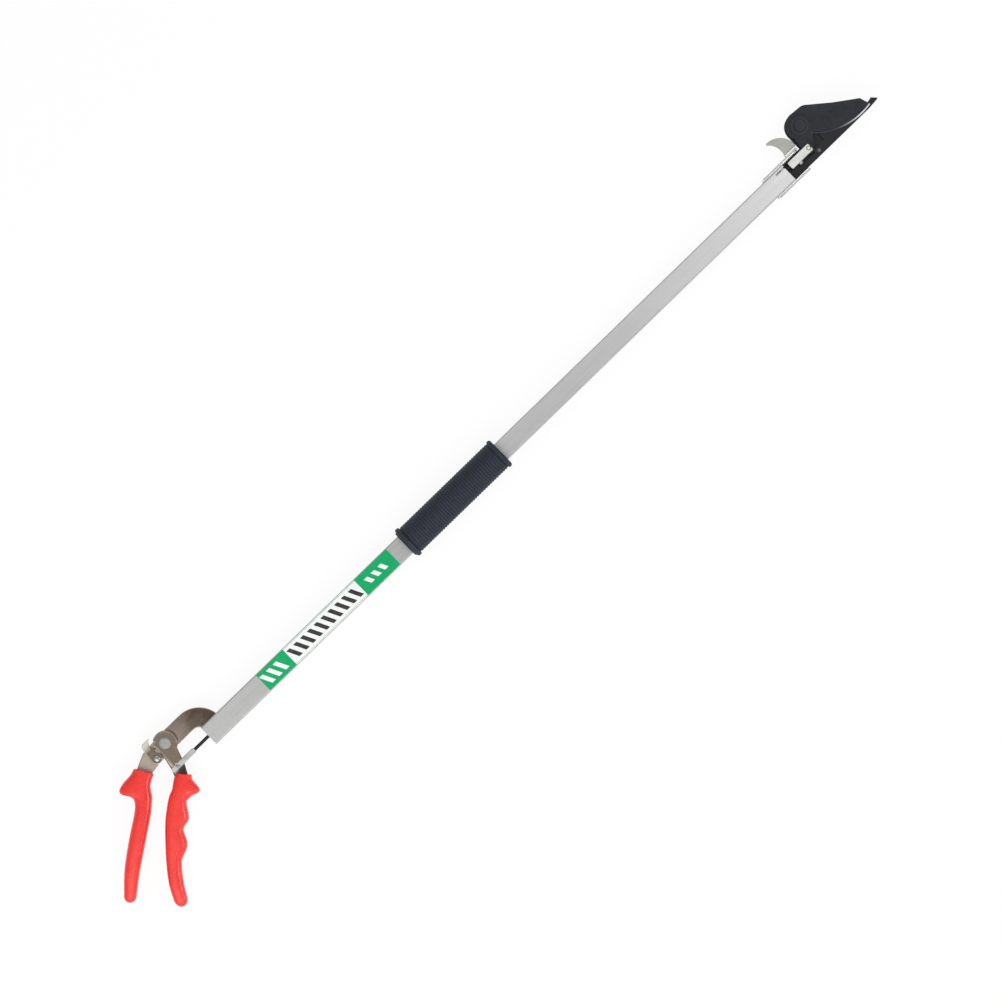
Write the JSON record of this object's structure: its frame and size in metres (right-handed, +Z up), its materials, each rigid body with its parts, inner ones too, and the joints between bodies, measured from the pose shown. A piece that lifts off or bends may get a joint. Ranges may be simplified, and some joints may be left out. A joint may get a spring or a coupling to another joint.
{
  "type": "tree pruner pole",
  "caption": "Long reach pruner with scissor handles at one end of a flat two-piece tube and a bypass cutting head with a branch hook at the other, worked by a rod inside the tube and held shut by a small latch.",
  "frame": {"origin": "Middle of the bounding box on the ground plane under the flanges of the grip sleeve", "axes": "+X runs along the pole from the handles to the cutting head, +Z is up and faces the front of the pole, +Y is the side of the branch hook and the blade pivot"},
  "size_m": [1, 0.133, 0.0322],
  "materials": {
    "tube": "satin anodised extrusion",
    "sleeve_rubber": "matt ribbed rubber",
    "label_film": "printed film",
    "guide_plastic": "moulded nylon",
    "plated_steel": "warm nickel plating on pressed steel",
    "latch_steel": "yellow zinc plating",
    "grip_plastic": "smooth dipped vinyl",
    "bright_steel": "zinc plated",
    "cast_link": "bright plated link",
    "bracket_steel": "bright plated sheet",
    "hook_steel": "grey paint",
    "black_steel": "black oxide",
    "coated_blade": "black low friction coating"
  },
  "bodies": {
    "pole": {"lower_pole": "tube", "upper_pole": "tube", "pole_rivets": "bright_steel", "grip_sleeve": "sleeve_rubber", "label": "label_film", "lower_guide": "guide_plastic", "middle_guide": "guide_plastic", "upper_guide": "guide_plastic", "fixed_arm": "plated_steel", "arm_rivets": "bright_steel", "fixed_grip": "grip_plastic", "pivot_bolt": "bright_steel", "pivot_nut": "bright_steel", "pivot_washer": "bright_steel", "latch_rivet": "bright_steel", "head_bracket": "bracket_steel", "bracket_rivets": "bright_steel", "branch_hook": "hook_steel", "fixed_blade": "coated_blade", "blade_bolt": "black_steel", "blade_nut": "black_steel", "blade_washer": "black_steel", "return_spring": "bright_steel"},
    "lever": {"lever_plate": "plated_steel", "lever_grip": "grip_plastic"},
    "rod": {"pull_rod": "black_steel", "rod_clevis": "cast_link", "clevis_pin": "bright_steel", "spring_collar": "bright_steel", "rod_fork": "cast_link", "fork_pin": "bright_steel", "fork_screw": "bright_steel"},
    "blade": {"cutting_blade": "coated_blade"},
    "latch": {"lock_latch": "latch_steel"}
  },
  "joints": [
    {"name": "lever_pivot", "type": "hinge", "parent": "pole", "child": "lever", "pos_m": [-0.37387, 0.05257, 0.0161], "axis": [0, 0, 1], "range_deg": [0, 30]},
    {"name": "rod_slide", "type": "slide", "parent": "pole", "child": "rod", "axis": [1, 0.0044, 0], "range_m": [0, 0.0125], "deforming": ["return_spring"]},
    {"name": "blade_pivot", "type": "hinge", "parent": "pole", "child": "blade", "pos_m": [0.43143, 0.05332, 0.0161], "axis": [0, 0, 1], "range_deg": [0, 33.2]},
    {"name": "latch_pivot", "type": "hinge", "parent": "pole", "child": "latch", "pos_m": [-0.38927, 0.04766, 0.0161], "axis": [0, 0, 1], "range_deg": [-14, 0]}
  ],
  "couplings": [
    {"joint": "rod_slide", "follows": "lever_pivot", "m_per_rad": 0.02367},
    {"joint": "blade_pivot", "follows": "lever_pivot", "ratio": 1.103}
  ]
}
